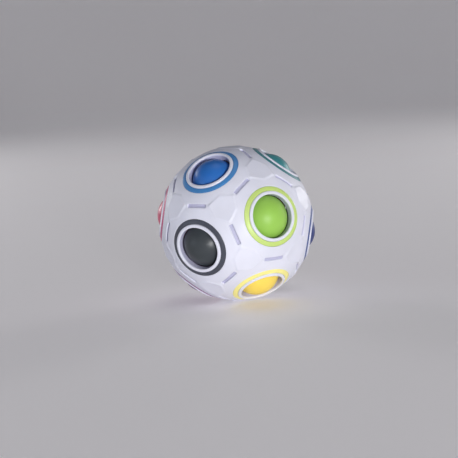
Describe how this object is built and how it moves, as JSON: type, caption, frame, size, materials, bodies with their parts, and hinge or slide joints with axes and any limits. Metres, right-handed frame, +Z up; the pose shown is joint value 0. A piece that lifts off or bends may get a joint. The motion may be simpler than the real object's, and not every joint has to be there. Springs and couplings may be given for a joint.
{
  "type": "rainbow ball puzzle",
  "caption": "Hand-held puzzle: a hollow white ball with round holes that hold captive coloured balls, which press in and roll from hole to hole.",
  "frame": {"origin": "centre of the flat hexagonal panel that the ball rests on, at the surface it rests on", "axes": "+Z up through the ball's centre and the opposite hexagonal panel; -Y towards the groove between the green and the black holes, which is the side the picture shows; +X to the right from there, so the magenta hole is on -X"},
  "size_m": [0.0712, 0.07, 0.0696],
  "materials": {
    "white_shell": "moulded white plastic with a faint lavender cast, semi-gloss",
    "foam": "matt dark grey open-cell foam",
    "blue_ring": "moulded coloured plastic, semi-gloss",
    "blue_ball": "glossy moulded plastic",
    "teal_ring": "moulded coloured plastic, semi-gloss",
    "teal_ball": "glossy moulded plastic",
    "orange_ring": "moulded coloured plastic, semi-gloss",
    "orange_ball": "glossy moulded plastic",
    "green_ring": "moulded coloured plastic, semi-gloss",
    "green_ball": "glossy moulded plastic",
    "red_ring": "moulded coloured plastic, semi-gloss",
    "red_ball": "glossy moulded plastic",
    "magenta_ring": "moulded coloured plastic, semi-gloss",
    "magenta_ball": "glossy moulded plastic",
    "black_ring": "moulded coloured plastic, semi-gloss",
    "black_ball": "glossy moulded plastic",
    "navy_ring": "moulded coloured plastic, semi-gloss",
    "navy_ball": "glossy moulded plastic",
    "brown_ring": "moulded coloured plastic, semi-gloss",
    "brown_ball": "glossy moulded plastic",
    "yellow_ring": "moulded coloured plastic, semi-gloss",
    "yellow_ball": "glossy moulded plastic",
    "white_ring": "moulded coloured plastic, semi-gloss",
    "purple_ring": "moulded coloured plastic, semi-gloss",
    "purple_ball": "glossy moulded plastic"
  },
  "bodies": {
    "shell": {"front_shell": "white_shell", "rear_shell": "white_shell", "foam_core": "foam", "ring_blue": "blue_ring", "ring_teal": "teal_ring", "ring_orange": "orange_ring", "ring_green": "green_ring", "ring_red": "red_ring", "ring_magenta": "magenta_ring", "ring_black": "black_ring", "ring_navy": "navy_ring", "ring_brown": "brown_ring", "ring_yellow": "yellow_ring", "ring_white": "white_ring", "ring_purple": "purple_ring"},
    "blue_ball": {"ball_blue": "blue_ball"},
    "teal_ball": {"ball_teal": "teal_ball"},
    "orange_ball": {"ball_orange": "orange_ball"},
    "green_ball": {"ball_green": "green_ball"},
    "red_ball": {"ball_red": "red_ball"},
    "magenta_ball": {"ball_magenta": "magenta_ball"},
    "black_ball": {"ball_black": "black_ball"},
    "navy_ball": {"ball_navy": "navy_ball"},
    "brown_ball": {"ball_brown": "brown_ball"},
    "yellow_ball": {"ball_yellow": "yellow_ball"},
    "purple_ball": {"ball_purple": "purple_ball"}
  },
  "joints": [
    {"name": "yellow_ball_roll_to_empty_hole", "type": "hinge", "parent": "shell", "child": "yellow_ball", "pos_m": [0.01565, 0, -0.00617], "axis": [-0.9342, 0, -0.3568], "range_deg": [0, 62.72], "deforming": ["foam_core"]},
    {"name": "blue_ball_press", "type": "slide", "parent": "shell", "child": "blue_ball", "axis": [0.3035, 0.5257, -0.7947], "range_m": [0, 0.004], "stiffness_N_per_m": 600, "deforming": ["foam_core"]},
    {"name": "teal_ball_press", "type": "slide", "parent": "shell", "child": "teal_ball", "axis": [-0.6071, 0, -0.7947], "range_m": [0, 0.004], "stiffness_N_per_m": 600, "deforming": ["foam_core"]},
    {"name": "orange_ball_press", "type": "slide", "parent": "shell", "child": "orange_ball", "axis": [0.3035, -0.5257, -0.7947], "range_m": [0, 0.004], "stiffness_N_per_m": 600, "deforming": ["foam_core"]},
    {"name": "green_ball_press", "type": "slide", "parent": "shell", "child": "green_ball", "axis": [-0.4911, 0.8507, -0.1876], "range_m": [0, 0.004], "stiffness_N_per_m": 600, "deforming": ["foam_core"]},
    {"name": "red_ball_press", "type": "slide", "parent": "shell", "child": "red_ball", "axis": [-0.4911, -0.8507, -0.1876], "range_m": [0, 0.004], "stiffness_N_per_m": 600, "deforming": ["foam_core"]},
    {"name": "magenta_ball_press", "type": "slide", "parent": "shell", "child": "magenta_ball", "axis": [0.9822, 0, -0.1876], "range_m": [0, 0.004], "stiffness_N_per_m": 600, "deforming": ["foam_core"]},
    {"name": "black_ball_press", "type": "slide", "parent": "shell", "child": "black_ball", "axis": [0.4911, 0.8507, 0.1876], "range_m": [0, 0.004], "stiffness_N_per_m": 600, "deforming": ["foam_core"]},
    {"name": "navy_ball_press", "type": "slide", "parent": "shell", "child": "navy_ball", "axis": [-0.9822, 0, 0.1876], "range_m": [0, 0.004], "stiffness_N_per_m": 600, "deforming": ["foam_core"]},
    {"name": "brown_ball_press", "type": "slide", "parent": "shell", "child": "brown_ball", "axis": [0.4911, -0.8507, 0.1876], "range_m": [0, 0.004], "stiffness_N_per_m": 600, "deforming": ["foam_core"]},
    {"name": "purple_ball_press", "type": "slide", "parent": "shell", "child": "purple_ball", "axis": [0.6071, 0, 0.7947], "range_m": [0, 0.004], "stiffness_N_per_m": 600, "deforming": ["foam_core"]}
  ]
}
